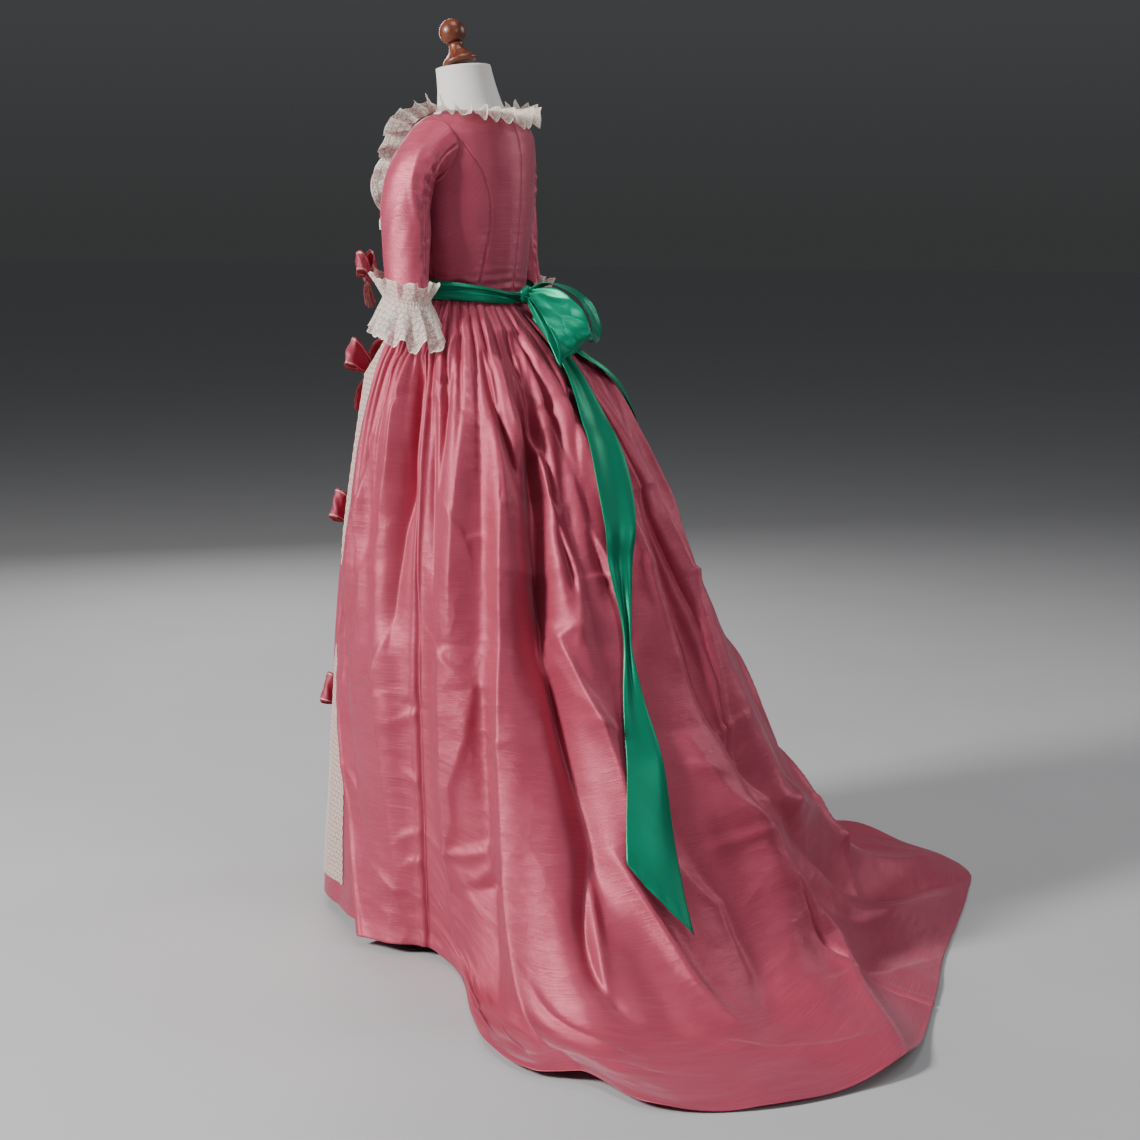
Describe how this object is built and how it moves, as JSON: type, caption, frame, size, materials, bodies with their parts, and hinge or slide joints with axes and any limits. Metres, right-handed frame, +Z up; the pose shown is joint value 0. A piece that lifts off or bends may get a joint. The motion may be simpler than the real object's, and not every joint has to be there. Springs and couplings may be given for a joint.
{
  "type": "english gown on a dress form and stand",
  "caption": "Close-bodied taffeta gown with elbow sleeves, gathered lace frills, satin sash with a back bow, and a pleated skirt with a long train, on a limbless dress form and stand.",
  "frame": {"origin": "on the floor, at the centre of the stand base under the pole", "axes": "+Z up along the pole; the front of the gown faces -Y and the train lies towards +Y; the wearer's left side is +X"},
  "size_m": [1.419, 1.375, 1.6813],
  "materials": {
    "taffeta": "crisp silk taffeta with a soft sheen, rose pink",
    "bow_ribbon": "crisp deep rose taffeta with fine pale edge lines",
    "satin": "smooth lustrous satin, green",
    "lace": "fine ivory net with a woven floral pattern",
    "form_cover": "matt off-white jersey cover",
    "wood": "polished red-brown turned wood"
  },
  "bodies": {
    "root": {"bodice_back_left": "taffeta", "bodice_side_left": "taffeta", "bodice_front_left": "taffeta", "sleeve_left": "taffeta", "cuff_upper_left": "lace", "cuff_lower_left": "lace", "lace_strip_left": "lace", "bodice_back_right": "taffeta", "bodice_side_right": "taffeta", "bodice_front_right": "taffeta", "sleeve_right": "taffeta", "cuff_upper_right": "lace", "cuff_lower_right": "lace", "lace_strip_right": "lace", "skirt_front_left": "taffeta", "skirt_back_left": "taffeta", "skirt_back_right": "taffeta", "skirt_front_right": "taffeta", "petticoat_front": "taffeta", "neck_frill": "lace", "bow_skirt_upper": "bow_ribbon", "bow_skirt_middle": "bow_ribbon", "bow_skirt_lower": "bow_ribbon", "bow_neck": "bow_ribbon", "bow_cuff_left": "bow_ribbon", "bow_cuff_right": "bow_ribbon", "sash_band": "satin", "sash_bow": "satin", "sash_tail_left": "satin", "sash_tail_right": "satin", "form_body": "form_cover", "form_finial": "wood", "stand_base": "wood", "stand_pole": "wood"}
  },
  "joints": []
}
